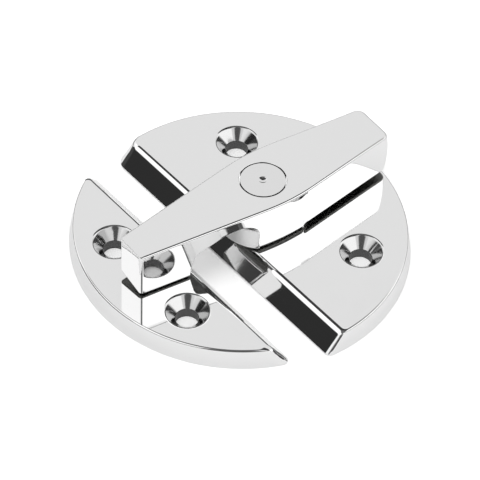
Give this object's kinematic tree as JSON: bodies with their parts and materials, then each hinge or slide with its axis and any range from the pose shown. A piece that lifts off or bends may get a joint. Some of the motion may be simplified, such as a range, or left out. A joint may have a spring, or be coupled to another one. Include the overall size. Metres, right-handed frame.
{
  "type": "round twist latch",
  "caption": "Round surface-mounted twist latch: a slotted disc of base and keeper plates with a tapered arched handle that turns over the keeper.",
  "frame": {"origin": "centre of the round on its mounting face", "axes": "+X from the keeper plate to the grip, across the slot; +Y along the slot; +Z out of the mounting face"},
  "size_m": [0.07, 0.07, 0.0158],
  "materials": {
    "polished_steel": "mirror polished stainless steel",
    "pin_steel": "polished stainless steel with fine turned rings",
    "washer_plastic": "natural acetal",
    "spring_steel": "plain stainless strip"
  },
  "bodies": {
    "plates": {"base_plate": "polished_steel", "keeper_plate": "polished_steel"},
    "handle": {"twist_handle": "polished_steel", "pivot_pin": "pin_steel", "thrust_washer": "washer_plastic", "disc_spring": "spring_steel", "retaining_washer": "spring_steel", "circlip": "spring_steel"}
  },
  "joints": [
    {"name": "handle_twist", "type": "hinge", "parent": "plates", "child": "handle", "pos_m": [0.0048, 0, 0.0045], "axis": [0, 0, 1], "continuous": true}
  ]
}
